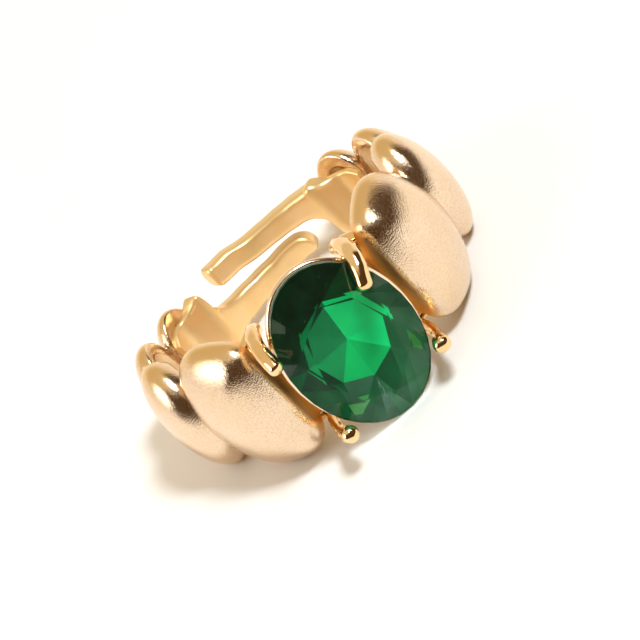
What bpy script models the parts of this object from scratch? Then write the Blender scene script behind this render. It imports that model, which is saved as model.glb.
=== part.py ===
"""Open cocktail ring: a faceted oval stone in a four-prong setting, hollow pebble-shaped domes down
both sides, and a shank whose two free arms pass each other behind the finger.

The finger axis is Z and the origin is the middle of the finger hole. The stone faces -Y, the arms
pass each other at +Y, and the left side is at -X. Lengths are in millimetres until they reach
Blender, which works in metres.
"""
import math

import bmesh
import bpy
from mathutils import Matrix, Vector

MM = 0.001
GAP = 0.05                      # clearance between pieces that are soldered together

# Finger hole and shank. Shank angles are degrees from +Y, positive towards +X.
FINGER_RADIUS = 8.65
SHANK_THICKNESS = 1.5
SHANK_RADIUS = FINGER_RADIUS + SHANK_THICKNESS / 2
SHANK_CORNER = 0.4
HINGE_ANGLE = 34.0              # where an arm bends
BARREL_RADIUS = SHANK_THICKNESS / 2
SOCKET_START = 0.5              # how far behind the hinge the shoulder begins
SHOULDER_STEP_ANGLE = 39.0
SHOULDER_RISE = 1.1             # how far a shoulder's end swings out to meet the last pebble
# Sections of a shoulder behind its step: degrees past the step, how far its bottom and its top
# draw in, and share of the rise
SHOULDER_SECTIONS = (
    (0.0, 0.25, 0.25, 0.0),
    (1.5, 0.0, 0.0, 0.03),
    (5.0, 0.0, 0.1, 0.3),
    (10.0, 0.1, 0.3, 0.75),
    (15.0, 0.3, 0.6, 1.0),
)
STEP_LENGTH = 0.6               # degrees over which the shoulder steps up from the arm's width
ARM_TIP_SHARES = (1.0, 0.6, 0.3, 0.12, 0.02)    # sections of an arm's rounded tip
CUTTER_REACH = 9.0              # half the length of an upright cutter
SHARP_ANGLE = 40.0

# Edges of the two arms: (x, z) pairs along each edge
LEFT_ARM_TOP = ((-5.6, 1.1), (-4.8, 0.3), (-3.0, -0.12), (0.0, -0.38), (1.5, -0.25), (4.2, -0.35))
LEFT_ARM_BOTTOM = ((-5.6, -2.3), (-3.0, -2.3), (0.0, -2.35), (4.2, -2.0))
LEFT_ARM_TIP_ANGLE = 22.8
LEFT_ARM_TIP_CORNERS = (0.35, 1.2)
RIGHT_ARM_TOP = ((5.6, 2.6), (3.0, 2.35), (0.0, 2.35), (-2.0, 2.85), (-4.6, 3.3))
RIGHT_ARM_BOTTOM = ((5.6, -0.5), (4.8, 0.15), (3.0, 0.35), (0.0, 0.5), (-2.0, 0.9), (-4.6, 1.4))
RIGHT_ARM_TIP_ANGLE = -25.7
RIGHT_ARM_TIP_CORNERS = (0.45, 0.45)
SHOULDER_BOTTOM = -2.5
LEFT_SHOULDER_TOP = 3.0
RIGHT_SHOULDER_TOP = 2.6

# Stone
STONE_HALF_WIDTH = 5.0
STONE_HALF_LENGTH = 7.0
GIRDLE_Y = -11.4
GIRDLE_THICKNESS = 0.3
CROWN_HEIGHT = 1.35
PAVILION_DEPTH = 2.1
STONE_SIDES = 32
# Crown and pavilion sections: share of the outline, share of the height
CROWN_SECTIONS = ((0.84, 0.6), (0.62, 1.0))
PAVILION_SECTIONS = ((0.55, 0.55), (0.04, 1.0))

# Setting
UPPER_RAIL_Y = GIRDLE_Y + 0.6
UPPER_RAIL_AXES = (4.85, 6.85)
UPPER_RAIL_RADIUS = 0.3
LOWER_RAIL_Y = -9.05
LOWER_RAIL_AXES = (4.5, 5.8)
LOWER_RAIL_RADIUS = 0.35
PRONG_RADIUS = 0.6
BRIDGE_THICKNESS = 0.95
BRIDGE_HALF_WIDTH = 2.6
BRIDGE_END_ANGLE = 46.0         # degrees either side of -Y
CULET_WINDOW = (2.4, 2.0)
WINDOW_REACH = 4.0
BRIDGE_BEVEL = 0.3              # share of the bridge's thickness taken off its edges
BRIDGE_EDGE = 0.8               # where the bevel starts, as a share of its half width
# Each prong: root, middle and tip, as (x, y, z)
PRONGS = {
    "prong_upper_left": ((-4.3, -8.3, 4.5), (-5.1, -10.6, 5.1), (-5.0, -12.7, 3.4)),
    "prong_upper_right": ((4.2, -8.3, 4.5), (4.9, -11.9, 5.8), (3.55, -13.0, 3.3)),
    "prong_lower_left": ((-4.5, -8.2, -4.3), (-5.1, -10.6, -4.8), (-4.6, -12.9, -4.35)),
    "prong_lower_right": ((4.5, -8.2, -4.3), (5.0, -10.6, -4.8), (4.5, -12.9, -4.4)),
}

# Pebbles, front to back: the middle's angle from -Y and its radius, the half sizes outwards, round
# the band and along the finger, how far the middle is moved along the finger, how far inside its
# middle the pebble ends, and how far its hollow reaches outwards. The front two are deep shells
# and the back two shallow dishes.
PEBBLES = (
    (54.0, 10.2, (2.65, 4.45, 5.95), -0.2, 1.3, 2.65),
    (86.0, 11.7, (2.25, 3.55, 5.1), -0.2, 1.3, 2.25),
    (108.0, 11.8, (2.1, 3.0, 4.35), 0.0, 0.4, 1.1),
    (130.0, 11.0, (1.9, 2.5, 3.5), 0.0, 0.2, 1.2),
)
PEBBLE_RIM_WALL = 1.0           # how much smaller the hollow is round the band and along the finger
HOLLOW_SHIFT = 0.8              # how far the hollow's middle is inside the pebble's

SIDES = {"left": -1, "right": 1}
GOLD = (0.90, 0.66, 0.36)
GREEN = (0.01, 0.22, 0.09)


def clear_scene():
    """Remove every object of the open scene."""
    for old in list(bpy.data.objects):
        bpy.data.objects.remove(old, do_unlink=True)


def collection(name):
    """Make a collection in the scene."""
    made = bpy.data.collections.new(name)
    bpy.context.scene.collection.children.link(made)
    return made


def material(name, colour, roughness, metallic, transmission=0.0):
    """Make a Principled material."""
    made = bpy.data.materials.new(name)
    made.use_nodes = True
    shader = made.node_tree.nodes["Principled BSDF"]
    shader.inputs["Base Color"].default_value = (*colour, 1.0)
    shader.inputs["Roughness"].default_value = roughness
    shader.inputs["Metallic"].default_value = metallic
    shader.inputs["Transmission Weight"].default_value = transmission
    return made


clear_scene()
PARTS = collection("cocktail_ring")
CUTTERS = collection("cutters")


def add_object(name, mesh, group=PARTS):
    """Link a mesh as an object of a collection; a cutter is hidden and drawn as wire."""
    made = bpy.data.objects.new(name, mesh)
    group.objects.link(made)
    if group is CUTTERS:
        made.hide_render = True
        made.display_type = "WIRE"
    return made


def mesh_from(name, build):
    """Make a mesh from a bmesh that a function fills, with its faces pointing out."""
    shape = bmesh.new()
    build(shape)
    bmesh.ops.recalc_face_normals(shape, faces=shape.faces)
    mesh = bpy.data.meshes.new(name)
    shape.to_mesh(mesh)
    shape.free()
    return mesh


def finish(piece, look, smooth=True):
    """Give a piece its material and its shading."""
    piece.data.materials.append(look)
    if smooth:
        piece.data.shade_smooth()
        piece.data.set_sharp_from_angle(angle=math.radians(SHARP_ANGLE))


def cut(piece, cutter, operation="DIFFERENCE"):
    """Add an exact Boolean to a piece."""
    step = piece.modifiers.new(f"{operation.lower()} {cutter.name}", "BOOLEAN")
    step.operation = operation
    step.object = cutter
    step.solver = "EXACT"


def loft(name, rings, group=PARTS):
    """Join rings of points, given in millimetres, into one closed solid with flat ends."""
    def build(shape):
        rows = [[shape.verts.new(Vector(point) * MM) for point in ring] for ring in rings]
        for row, following in zip(rows, rows[1:]):
            for index in range(len(row)):
                after = (index + 1) % len(row)
                shape.faces.new((row[index], row[after], following[after], following[index]))
        shape.faces.new(rows[0])
        shape.faces.new(rows[-1])
    return add_object(name, mesh_from(name, build), group)


def along(keys, position):
    """Read a smooth line through (position, value) pairs."""
    keys = sorted(keys)
    position = min(max(position, keys[0][0]), keys[-1][0])
    index = max(i for i in range(len(keys) - 1) if keys[i][0] <= position)
    (x0, v0), (x1, v1) = keys[index], keys[index + 1]

    def slope(i):
        low, high = max(i - 1, 0), min(i + 1, len(keys) - 1)
        return (keys[high][1] - keys[low][1]) / (keys[high][0] - keys[low][0])

    width = x1 - x0
    t = (position - x0) / width
    start, end = slope(index) * width, slope(index + 1) * width
    return ((2 * t**3 - 3 * t**2 + 1) * v0 + (t**3 - 2 * t**2 + t) * start
            + (3 * t**2 - 2 * t**3) * v1 + (t**3 - t**2) * end)


def band_section(angle, low, high, thickness=SHANK_THICKNESS, ahead=0.0, rise=0.0, corner_steps=3):
    """One rounded rectangle across the shank, which may stand ahead on the tangent or further out."""
    turn = math.radians(angle)
    outward = Vector((math.sin(turn), math.cos(turn), 0.0))
    tangent = Vector((math.cos(turn), -math.sin(turn), 0.0))
    middle = outward * (SHANK_RADIUS + rise) + tangent * ahead
    half = thickness / 2
    corner = min(SHANK_CORNER, half * 0.8, (high - low) * 0.4)
    points = []
    for quarter, (across, up) in enumerate(((1, 1), (-1, 1), (-1, -1), (1, -1))):
        centre_out = across * (half - corner)
        centre_z = (high - corner) if up > 0 else (low + corner)
        for step in range(corner_steps + 1):
            sweep = math.radians(90 * (quarter + step / corner_steps))
            out = centre_out + corner * math.cos(sweep)
            height = centre_z + corner * math.sin(sweep)
            points.append(middle + outward * out + Vector((0, 0, height)))
    return points


def arm_rings(hinge_angle, tip_angle, bottom, top, tip_corners, steps=22, round_steps=5):
    """Sections of one arm: a half-round root about the hinge, then the band out to its tip."""
    side = math.copysign(1, hinge_angle)
    root_x = SHANK_RADIUS * math.sin(math.radians(hinge_angle))
    low, high = along(bottom, root_x), along(top, root_x)
    rings = []
    for step in range(1, round_steps):
        reach = BARREL_RADIUS * math.cos(math.radians(90 * step / round_steps))
        thickness = 2 * math.sqrt(BARREL_RADIUS**2 - reach**2)
        rings.append(band_section(hinge_angle, low, high, thickness, side * reach))
    low_corner, high_corner = tip_corners
    angles = [hinge_angle + (tip_angle - hinge_angle) * step / steps for step in range(steps)]
    lengths = [abs(tip_angle - angle) * math.radians(SHANK_RADIUS) for angle in angles]
    lengths = [length for length in lengths if length > max(tip_corners)]
    lengths += [max(tip_corners) * share for share in ARM_TIP_SHARES]
    for length in lengths:
        angle = tip_angle + side * math.degrees(length / SHANK_RADIUS)
        x = SHANK_RADIUS * math.sin(math.radians(angle))
        low = along(bottom, x) + inset(low_corner, length)
        high = along(top, x) - inset(high_corner, length)
        rings.append(band_section(angle, low, high, SHANK_THICKNESS))
    return rings


def inset(corner, length):
    """How far a rounded corner has drawn in at a distance from the end."""
    if length >= corner:
        return 0.0
    return corner - math.sqrt(corner**2 - (corner - length)**2)


def shoulder_rings(side, low, step_low, step_high, top, grow=0.0):
    """Sections of one shoulder, from its hinge socket to its end inside the last pebble."""
    start = math.degrees(SOCKET_START / SHANK_RADIUS)
    thickness = SHANK_THICKNESS + 2 * grow
    first = HINGE_ANGLE + start - math.degrees(grow / SHANK_RADIUS)
    stations = [(first, step_low, step_high, 0.0),
                (SHOULDER_STEP_ANGLE - STEP_LENGTH, step_low, step_high, 0.0)]
    stations += [(SHOULDER_STEP_ANGLE + past, low + bottom_in, top - top_in, share)
                 for past, bottom_in, top_in, share in SHOULDER_SECTIONS]
    return [band_section(side * angle, bottom - grow, height + grow, thickness,
                         rise=share * SHOULDER_RISE)
            for angle, bottom, height, share in stations]


def ellipsoid(name, pebble, side, grow=(0.0, 0.0, 0.0), inward=0.0, detail=(24, 16),
              group=CUTTERS):
    """A pebble's ellipsoid on one side, grown by an allowance and moved towards the finger."""
    angle, radius, half_sizes, raised = pebble[:4]
    turn = math.radians(angle)
    outward = Vector((side * math.sin(turn), -math.cos(turn), 0.0))
    upward = Vector((0, 0, 1))
    axes = (outward, upward.cross(outward), upward)
    columns = [axis * (size + more) * MM for axis, size, more in zip(axes, half_sizes, grow)]
    matrix = Matrix(columns).transposed().to_4x4()
    matrix.translation = (outward * (radius - inward) + upward * raised) * MM

    def build(shape):
        bmesh.ops.create_uvsphere(shape, u_segments=detail[0], v_segments=detail[1], radius=1,
                                  matrix=matrix)
    return add_object(name, mesh_from(name, build), group)


def cylinder(name, radius, centre=(0, 0), reach=CUTTER_REACH, steps=48):
    """An upright cylinder to cut with."""
    place = Matrix.Translation(Vector((centre[0], centre[1], 0.0)) * MM)

    def build(shape):
        bmesh.ops.create_cone(shape, cap_ends=True, segments=steps, radius1=radius * MM,
                              radius2=radius * MM, depth=2 * reach * MM, matrix=place)
    return add_object(name, mesh_from(name, build), CUTTERS)


def hinge_point(side):
    """Where an arm's bending axis crosses the XY plane."""
    turn = math.radians(HINGE_ANGLE)
    return (side * SHANK_RADIUS * math.sin(turn), SHANK_RADIUS * math.cos(turn))


def stone_rings(grow=0.0):
    """Sections of the stone from its table back to its culet."""
    half_girdle = GIRDLE_THICKNESS / 2
    sections = [(share, GIRDLE_Y - half_girdle - height * CROWN_HEIGHT - grow)
                for share, height in reversed(CROWN_SECTIONS)]
    sections += [(1.0, GIRDLE_Y - half_girdle - grow), (1.0, GIRDLE_Y + half_girdle + grow)]
    sections += [(share, GIRDLE_Y + half_girdle + height * PAVILION_DEPTH + grow)
                 for share, height in PAVILION_SECTIONS]
    rings = []
    for share, y in sections:
        ring = []
        for corner in range(STONE_SIDES):
            turn = 2 * math.pi * corner / STONE_SIDES
            x = (STONE_HALF_WIDTH * share + grow) * math.cos(turn)
            z = (STONE_HALF_LENGTH * share + grow) * math.sin(turn)
            ring.append((x, y, z))
        rings.append(ring)
    return rings


def oval_rail(name, y, axes, radius, steps=48):
    """A closed oval wire that lies across the Y axis."""
    line = bpy.data.curves.new(name, "CURVE")
    line.dimensions = "3D"
    line.bevel_depth = radius * MM
    line.bevel_resolution = 2
    spline = line.splines.new("POLY")
    spline.points.add(steps - 1)
    for index, point in enumerate(spline.points):
        turn = 2 * math.pi * index / steps
        point.co = (axes[0] * math.cos(turn) * MM, y * MM, axes[1] * math.sin(turn) * MM, 1)
    spline.use_cyclic_u = True
    return mesh_of_curve(line)


def mesh_of_curve(line):
    """Turn a bevelled curve into a closed mesh object of the same name."""
    curve = bpy.data.objects.new(line.name, line)
    PARTS.objects.link(curve)
    bpy.context.view_layer.update()
    evaluated = curve.evaluated_get(bpy.context.evaluated_depsgraph_get())
    mesh = bpy.data.meshes.new_from_object(evaluated)
    bpy.data.objects.remove(curve, do_unlink=True)
    shape = bmesh.new()
    shape.from_mesh(mesh)
    bmesh.ops.remove_doubles(shape, verts=shape.verts, dist=0.002 * MM)
    bmesh.ops.recalc_face_normals(shape, faces=shape.faces)
    shape.to_mesh(mesh)
    shape.free()
    return add_object(line.name, mesh)


def prong(name, root, middle, tip, steps=14, round_steps=4):
    """A round bar bent over the stone's edge, with a rounded tip."""
    root, middle, tip = Vector(root), Vector(middle), Vector(tip)
    stations = []
    for step in range(steps + 1):
        t = step / steps
        point = root * (1 - t)**2 + middle * (2 * t * (1 - t)) + tip * t**2
        stations.append((point, 1.0))
    forward = (tip - middle).normalized()
    for step in range(1, round_steps):
        turn = math.radians(90 * step / round_steps)
        stations.append((tip + forward * PRONG_RADIUS * math.sin(turn), math.cos(turn)))
    line = bpy.data.curves.new(name, "CURVE")
    line.dimensions = "3D"
    line.bevel_depth = PRONG_RADIUS * MM
    line.bevel_resolution = 3
    line.use_fill_caps = True
    spline = line.splines.new("POLY")
    spline.points.add(len(stations) - 1)
    for point, (place, share) in zip(spline.points, stations):
        point.co = (*(place * MM), 1)
        point.radius = share
    return mesh_of_curve(line)


def build_stone(look):
    """The faceted oval stone."""
    stone = loft("stone", stone_rings())
    finish(stone, look, smooth=False)


def build_setting(look):
    """Two oval rails, four prongs seated on the stone's edge, and the bridge under the stone."""
    rails = (("gallery_rail_upper", UPPER_RAIL_Y, UPPER_RAIL_AXES, UPPER_RAIL_RADIUS),
             ("gallery_rail_lower", LOWER_RAIL_Y, LOWER_RAIL_AXES, LOWER_RAIL_RADIUS))
    for name, y, axes, radius in rails:
        finish(oval_rail(name, y, axes, radius), look)
    seat = loft("seat_cutter", stone_rings(grow=GAP), CUTTERS)
    for name, (root, middle, tip) in PRONGS.items():
        bar = prong(name, root, middle, tip)
        cut(bar, seat)
        finish(bar, look)
    build_bridge(look)


def build_bridge(look, steps=20):
    """The curved strap that joins the two front pebbles, with a window for the stone's point."""
    rings = []
    for step in range(steps + 1):
        angle = 180 + BRIDGE_END_ANGLE * (2 * step / steps - 1)
        rings.append(bridge_section(angle))
    bridge = loft("bridge", rings)
    window = cylinder("culet_window", 1.0, reach=WINDOW_REACH)
    width, height = CULET_WINDOW
    spin = Matrix.Rotation(math.radians(90), 4, "X")
    size = Matrix.Diagonal((width, height, 1.0, 1.0))
    window.data.transform(Matrix.Translation((0, GIRDLE_Y * MM, 0)) @ spin @ size)
    cut(bridge, window)
    for side_name, side in SIDES.items():
        cut(bridge, ellipsoid(f"bridge_trim_{side_name}", PEBBLES[0], side, grow=(GAP,) * 3))
    finish(bridge, look)


def bridge_section(angle):
    """One rounded rectangle across the bridge, flush with the finger hole."""
    turn = math.radians(angle)
    outward = Vector((math.sin(turn), math.cos(turn), 0.0))
    half = BRIDGE_THICKNESS / 2
    inner = half * (1 - BRIDGE_BEVEL)
    edge = BRIDGE_EDGE
    ring = []
    for out, height in ((half, edge), (inner, 1.0), (-inner, 1.0), (-half, edge),
                        (-half, -edge), (-inner, -1.0), (inner, -1.0), (half, -edge)):
        reach = FINGER_RADIUS + half + out
        ring.append(outward * reach + Vector((0, 0, height * BRIDGE_HALF_WIDTH)))
    return ring


def build_pebbles(look):
    """Four hollow pebbles down each side; each is trimmed where the one in front laps over it."""
    for side_name, side in SIDES.items():
        for number, pebble in enumerate(PEBBLES, start=1):
            name = f"pebble_{side_name}_{number}"
            dome = ellipsoid(name, pebble, side, group=PARTS)
            _, radius, half_sizes, _, inside, hollow_reach = pebble
            cut(dome, cylinder(f"{name}_rim", radius - inside, steps=96))
            shrink = (hollow_reach - half_sizes[0], -PEBBLE_RIM_WALL, -PEBBLE_RIM_WALL)
            hollow = ellipsoid(f"{name}_hollow", pebble, side, shrink, HOLLOW_SHIFT, (20, 12))
            cut(dome, hollow)
            if number > 1:
                cut(dome, ellipsoid(f"{name}_lap", PEBBLES[number - 2], side, (GAP,) * 3))
            if number == len(PEBBLES):
                cut(dome, shoulder_block(side_name, side))
                clearance = BARREL_RADIUS + 3 * GAP
                cut(dome, cylinder(f"{name}_clearance", clearance, hinge_point(side)))
            finish(dome, look)


def arm_edges(side):
    """The bottom and top edges of one arm at its hinge."""
    x = hinge_point(side)[0]
    if side < 0:
        return along(LEFT_ARM_BOTTOM, x), along(LEFT_ARM_TOP, x)
    return along(RIGHT_ARM_BOTTOM, x), along(RIGHT_ARM_TOP, x)


def shoulder_top(side):
    """Height of one shoulder."""
    return LEFT_SHOULDER_TOP if side < 0 else RIGHT_SHOULDER_TOP


def shoulder_block(side_name, side):
    """The space that one shoulder takes out of the last pebble."""
    low, high = arm_edges(side)
    rings = shoulder_rings(side, SHOULDER_BOTTOM, low, high, shoulder_top(side), grow=GAP)
    return loft(f"shoulder_space_{side_name}", rings, CUTTERS)


def build_shank(look):
    """A fixed shoulder and a bending arm on each side."""
    for side_name, side in SIDES.items():
        low, high = arm_edges(side)
        rings = shoulder_rings(side, SHOULDER_BOTTOM, low, high, shoulder_top(side))
        shoulder = loft(f"shoulder_{side_name}", rings)
        socket = cylinder(f"socket_{side_name}", BARREL_RADIUS + GAP, hinge_point(side))
        cut(shoulder, socket)
        finish(shoulder, look)
    left = arm_rings(-HINGE_ANGLE, LEFT_ARM_TIP_ANGLE, LEFT_ARM_BOTTOM, LEFT_ARM_TOP,
                     LEFT_ARM_TIP_CORNERS)
    finish(place_on_hinge(loft("arm_left", left), -1), look)
    right = arm_rings(HINGE_ANGLE, RIGHT_ARM_TIP_ANGLE, RIGHT_ARM_BOTTOM, RIGHT_ARM_TOP,
                      RIGHT_ARM_TIP_CORNERS)
    finish(place_on_hinge(loft("arm_right", right), 1), look)


def place_on_hinge(arm, side):
    """Move an arm's origin onto its bending axis without moving the arm."""
    x, y = hinge_point(side)
    origin = Vector((x, y, 0)) * MM
    arm.data.transform(Matrix.Translation(-origin))
    arm.location = origin
    return arm


def main():
    """Build the whole ring."""
    gold = material("gold_plate", GOLD, 0.35, 1.0)
    polished = material("polished_gold_plate", GOLD, 0.15, 1.0)
    glass = material("green_glass", GREEN, 0.03, 0.0, 0.6)
    build_stone(glass)
    build_setting(polished)
    build_pebbles(gold)
    build_shank(gold)


main()
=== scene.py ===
"""Looks for the open cocktail ring: satin and polished gold castings around a faceted green stone.

Lengths are in millimetres until they reach a mesh, which is in metres. The finger axis is Z, the
stone faces -Y and the arms pass each other at +Y.
"""
import math

import bmesh
import bpy
import numpy as np
from mathutils import Matrix, Vector, noise
from mathutils.bvhtree import BVHTree


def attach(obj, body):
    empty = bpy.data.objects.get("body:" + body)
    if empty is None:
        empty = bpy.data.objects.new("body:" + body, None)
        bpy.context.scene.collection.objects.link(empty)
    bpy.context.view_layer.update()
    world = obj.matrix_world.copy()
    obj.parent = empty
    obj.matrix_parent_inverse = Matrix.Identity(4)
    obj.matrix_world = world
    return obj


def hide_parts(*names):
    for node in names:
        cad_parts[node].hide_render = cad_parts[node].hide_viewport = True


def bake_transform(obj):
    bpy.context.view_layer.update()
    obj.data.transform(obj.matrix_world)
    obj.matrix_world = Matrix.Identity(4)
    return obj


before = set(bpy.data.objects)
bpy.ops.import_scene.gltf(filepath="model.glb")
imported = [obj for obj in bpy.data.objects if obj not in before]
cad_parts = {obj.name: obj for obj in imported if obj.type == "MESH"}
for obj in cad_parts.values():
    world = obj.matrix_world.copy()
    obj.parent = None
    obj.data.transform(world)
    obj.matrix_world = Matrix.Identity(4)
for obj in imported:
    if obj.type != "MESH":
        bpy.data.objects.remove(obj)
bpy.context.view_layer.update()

MM = 0.001
SIDES = {"left": -1, "right": 1}

# Shank, in the CAD's terms: angles are degrees from +Y
FINGER_RADIUS = 8.65
SHANK_THICKNESS = 1.5
SHANK_RADIUS = FINGER_RADIUS + SHANK_THICKNESS / 2
SHANK_CORNER = 0.45
SHOULDER_END_ANGLE = 61.0

# Stone
STONE_HALF_WIDTH = 5.0
STONE_HALF_LENGTH = 7.0
GIRDLE_Y = -11.4
GIRDLE_THICKNESS = 0.3
TABLE_Y = -12.9
CULET_Y = -9.0

# Pebbles: angle from -Y, middle's radius, half sizes (outward, round the band, along the finger),
# how far raised, how far inside its middle it ends, how far its hollow reaches outwards
PEBBLES = (
    (54.0, 10.2, (2.65, 4.45, 5.95), -0.2, 1.3, 2.65),
    (86.0, 11.7, (2.25, 3.55, 5.1), -0.2, 1.3, 2.25),
    (108.0, 11.8, (2.1, 3.0, 4.35), 0.0, 0.4, 1.1),
    (130.0, 11.0, (1.9, 2.5, 3.5), 0.0, 0.2, 1.2),
)
RIM_WALL = 0.85                 # thickness of a pebble's rim
HOLLOW_SHIFT = 0.8              # how far a hollow's middle lies inside the dome's middle
RIM_ROUND = 0.28                # radius of a rim's two edges
FRONT_FULLNESS = 0.8            # how square the front pebbles are on the side next to the stone
LAP_DEPTH = 0.45                # how far a pebble reaches into the one in front


# ---------------------------------------------------------------- materials

# Noise scales are in waves a metre, and bump heights are in metres
DRIFT_SCALE = 330.0             # slow change of a gold's colour
DRIFT_STOPS = (0.3, 0.65)
SPECK_SCALE = 8000.0            # dark specks in the plating
SPECK_RANGE = (0.36, 0.56)
GRAIN_RANGE = (0.3, 0.7)        # noise values that give the least and the most roughness
GRAIN_HEIGHT = 0.00006
DENT_SCALE = 900.0
DENT_HEIGHT = 0.00004
# Deeper gold on faces that point up or down: painted shade and painted reflection of the dim
# ceiling and of the ring's shadow on the floor
UPRIGHT_SHADE_GOLD = (0.80, 0.56, 0.27)
UPRIGHT_SHADE_RANGE = (0.5, 0.95)         # upright share of the normal between which that painted shade comes in
# Orange gold on the front domes' walls beside the stone: painted shade and painted warm reflection
# between the domes and the setting
WALL_SHADE_GOLD = (0.96, 0.52, 0.13)
WALL_SHADE_RANGE = (5.3, 6.4)         # distances from the middle between which that painted shade fades out
WALL_ROUGHNESS = 0.5
GLASS_DRIFT_SCALE = 400.0
GLASS_DRIFT_STOPS = (0.35, 0.65)
GLASS_DEEPER = 0.85             # the deeper end of that drift, as a share of the tint
WEAR_SCALE = 3000.0
WEAR_ROUGHNESS = (0.0, 0.03)
WEAR_RANGE = (0.5, 0.9)
CLOUD_SCALE = 700.0
CLOUD_STOPS = (0.3, 0.7)
CLOUD_ROUGHNESS = (0.25, 0.4)
GLINT_SCALE = 5200.0            # tiny painted glints in the stone
GLINT_RANGE = (0.70, 0.76)


def new_material(name):
    """A node material with its shader and its coordinates."""
    made = bpy.data.materials.new(name)
    made.use_nodes = True
    tree = made.node_tree
    shader = tree.nodes["Principled BSDF"]
    place = tree.nodes.new("ShaderNodeTexCoord")
    return made, tree, shader, place.outputs["Object"]


def noise_node(tree, coordinates, scale, detail=3.0, rough=0.55):
    """A noise texture's grey value."""
    made = tree.nodes.new("ShaderNodeTexNoise")
    made.inputs["Scale"].default_value = scale
    made.inputs["Detail"].default_value = detail
    made.inputs["Roughness"].default_value = rough
    tree.links.new(coordinates, made.inputs["Vector"])
    return made.outputs["Fac"]


def ramp(tree, value, stops):
    """A colour ramp through (position, colour) stops."""
    made = tree.nodes.new("ShaderNodeValToRGB")
    points = made.color_ramp.elements
    while len(points) < len(stops):
        points.new(0.5)
    for point, (position, colour) in zip(points, stops):
        point.position = position
        point.color = (*colour, 1.0)
    tree.links.new(value, made.inputs["Fac"])
    return made.outputs["Color"]


def mapped(tree, value, low, high, start=0.0, end=1.0):
    """A smooth step from low to high while a value goes from start to end."""
    made = tree.nodes.new("ShaderNodeMapRange")
    made.interpolation_type = "SMOOTHSTEP"
    made.inputs["From Min"].default_value = start
    made.inputs["From Max"].default_value = end
    made.inputs["To Min"].default_value = low
    made.inputs["To Max"].default_value = high
    tree.links.new(value, made.inputs["Value"])
    return made.outputs["Result"]


def bump(tree, height, strength, distance, under=None):
    """A bump, on top of another one if it is given."""
    made = tree.nodes.new("ShaderNodeBump")
    made.inputs["Strength"].default_value = strength
    made.inputs["Distance"].default_value = distance
    tree.links.new(height, made.inputs["Height"])
    if under is not None:
        tree.links.new(under, made.inputs["Normal"])
    return made.outputs["Normal"]


def blended(tree, factor, first, second):
    """A colour mixed from two sockets or fixed colours."""
    mix = tree.nodes.new("ShaderNodeMix")
    mix.data_type = "RGBA"
    tree.links.new(factor, mix.inputs["Factor"])
    for socket, value in ((mix.inputs["A"], first), (mix.inputs["B"], second)):
        if isinstance(value, tuple):
            socket.default_value = (*value, 1.0)
        else:
            tree.links.new(value, socket)
    return mix.outputs["Result"]


def size_along(tree, vector, axis):
    """How large a vector is along X, Y or Z, whichever way it points."""
    parts = tree.nodes.new("ShaderNodeSeparateXYZ")
    tree.links.new(vector, parts.inputs["Vector"])
    size = tree.nodes.new("ShaderNodeMath")
    size.operation = "ABSOLUTE"
    tree.links.new(parts.outputs[axis], size.inputs[0])
    return size.outputs["Value"]


def gold(name, light, deep, roughness, grain, grain_scale, dents, metallic=1.0,
         speckle=0.0, rim=None, wall=None):
    """Gold plate: slow colour drift, dark speckle, fine grain and small dents.

    With a rim colour, what faces up or down takes that deeper gold, as painted shade and painted
    reflection. With a wall colour, what lies close to the middle of the ring takes a deeper,
    rougher gold, as painted shade and painted warm reflection on the walls beside the stone.
    """
    made, tree, shader, place = new_material(name)
    shader.inputs["Metallic"].default_value = metallic
    drift = noise_node(tree, place, DRIFT_SCALE, 2.0)
    colour = ramp(tree, drift, tuple(zip(DRIFT_STOPS, (deep, light))))
    if speckle:
        dots = noise_node(tree, place, SPECK_SCALE, 1.0, 0.7)
        dark = tuple(part * (1 - speckle) for part in deep)
        colour = blended(tree, mapped(tree, dots, 1.0, 0.0, *SPECK_RANGE), colour, dark)
    # Painted shade and reflection: a deeper gold on faces that point up or down
    if rim is not None:
        normal = tree.nodes.new("ShaderNodeNewGeometry").outputs["Normal"]
        steep = mapped(tree, size_along(tree, normal, "Z"), 0.0, 1.0, *UPRIGHT_SHADE_RANGE)
        colour = blended(tree, steep, colour, rim)
    fine = noise_node(tree, place, grain_scale, 1.0, 0.5)
    matte = mapped(tree, fine, *roughness, *GRAIN_RANGE)
    # Painted shade and warm reflection: a deeper, rougher gold near the middle of the ring, beside
    # the stone
    if wall is not None:
        start, end = (MM * distance for distance in WALL_SHADE_RANGE)
        near = mapped(tree, size_along(tree, place, "X"), 1.0, 0.0, start, end)
        colour = blended(tree, near, colour, wall)
        rougher = tree.nodes.new("ShaderNodeMix")
        tree.links.new(near, rougher.inputs["Factor"])
        tree.links.new(matte, rougher.inputs["A"])
        rougher.inputs["B"].default_value = WALL_ROUGHNESS
        matte = rougher.outputs["Result"]
    tree.links.new(colour, shader.inputs["Base Color"])
    tree.links.new(matte, shader.inputs["Roughness"])
    waves = bump(tree, noise_node(tree, place, DENT_SCALE, 1.0), dents, DENT_HEIGHT)
    tree.links.new(bump(tree, fine, grain, GRAIN_HEIGHT, waves), shader.inputs["Normal"])
    return made


def clear_glass(name, tint, gloss):
    """Clear green glass with polished facets, faint wear and a tint to its reflections."""
    made, tree, shader, place = new_material(name)
    shader.inputs["Transmission Weight"].default_value = 1.0
    shader.inputs["IOR"].default_value = 1.5
    shader.inputs["Specular Tint"].default_value = (*gloss, 1.0)
    drift = noise_node(tree, place, GLASS_DRIFT_SCALE, 2.0)
    deep = tuple(GLASS_DEEPER * part for part in tint)
    colour = ramp(tree, drift, tuple(zip(GLASS_DRIFT_STOPS, (deep, tint))))
    tree.links.new(colour, shader.inputs["Base Color"])
    wear = noise_node(tree, place, WEAR_SCALE, 3.0)
    tree.links.new(mapped(tree, wear, *WEAR_ROUGHNESS, *WEAR_RANGE), shader.inputs["Roughness"])
    return made


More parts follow.
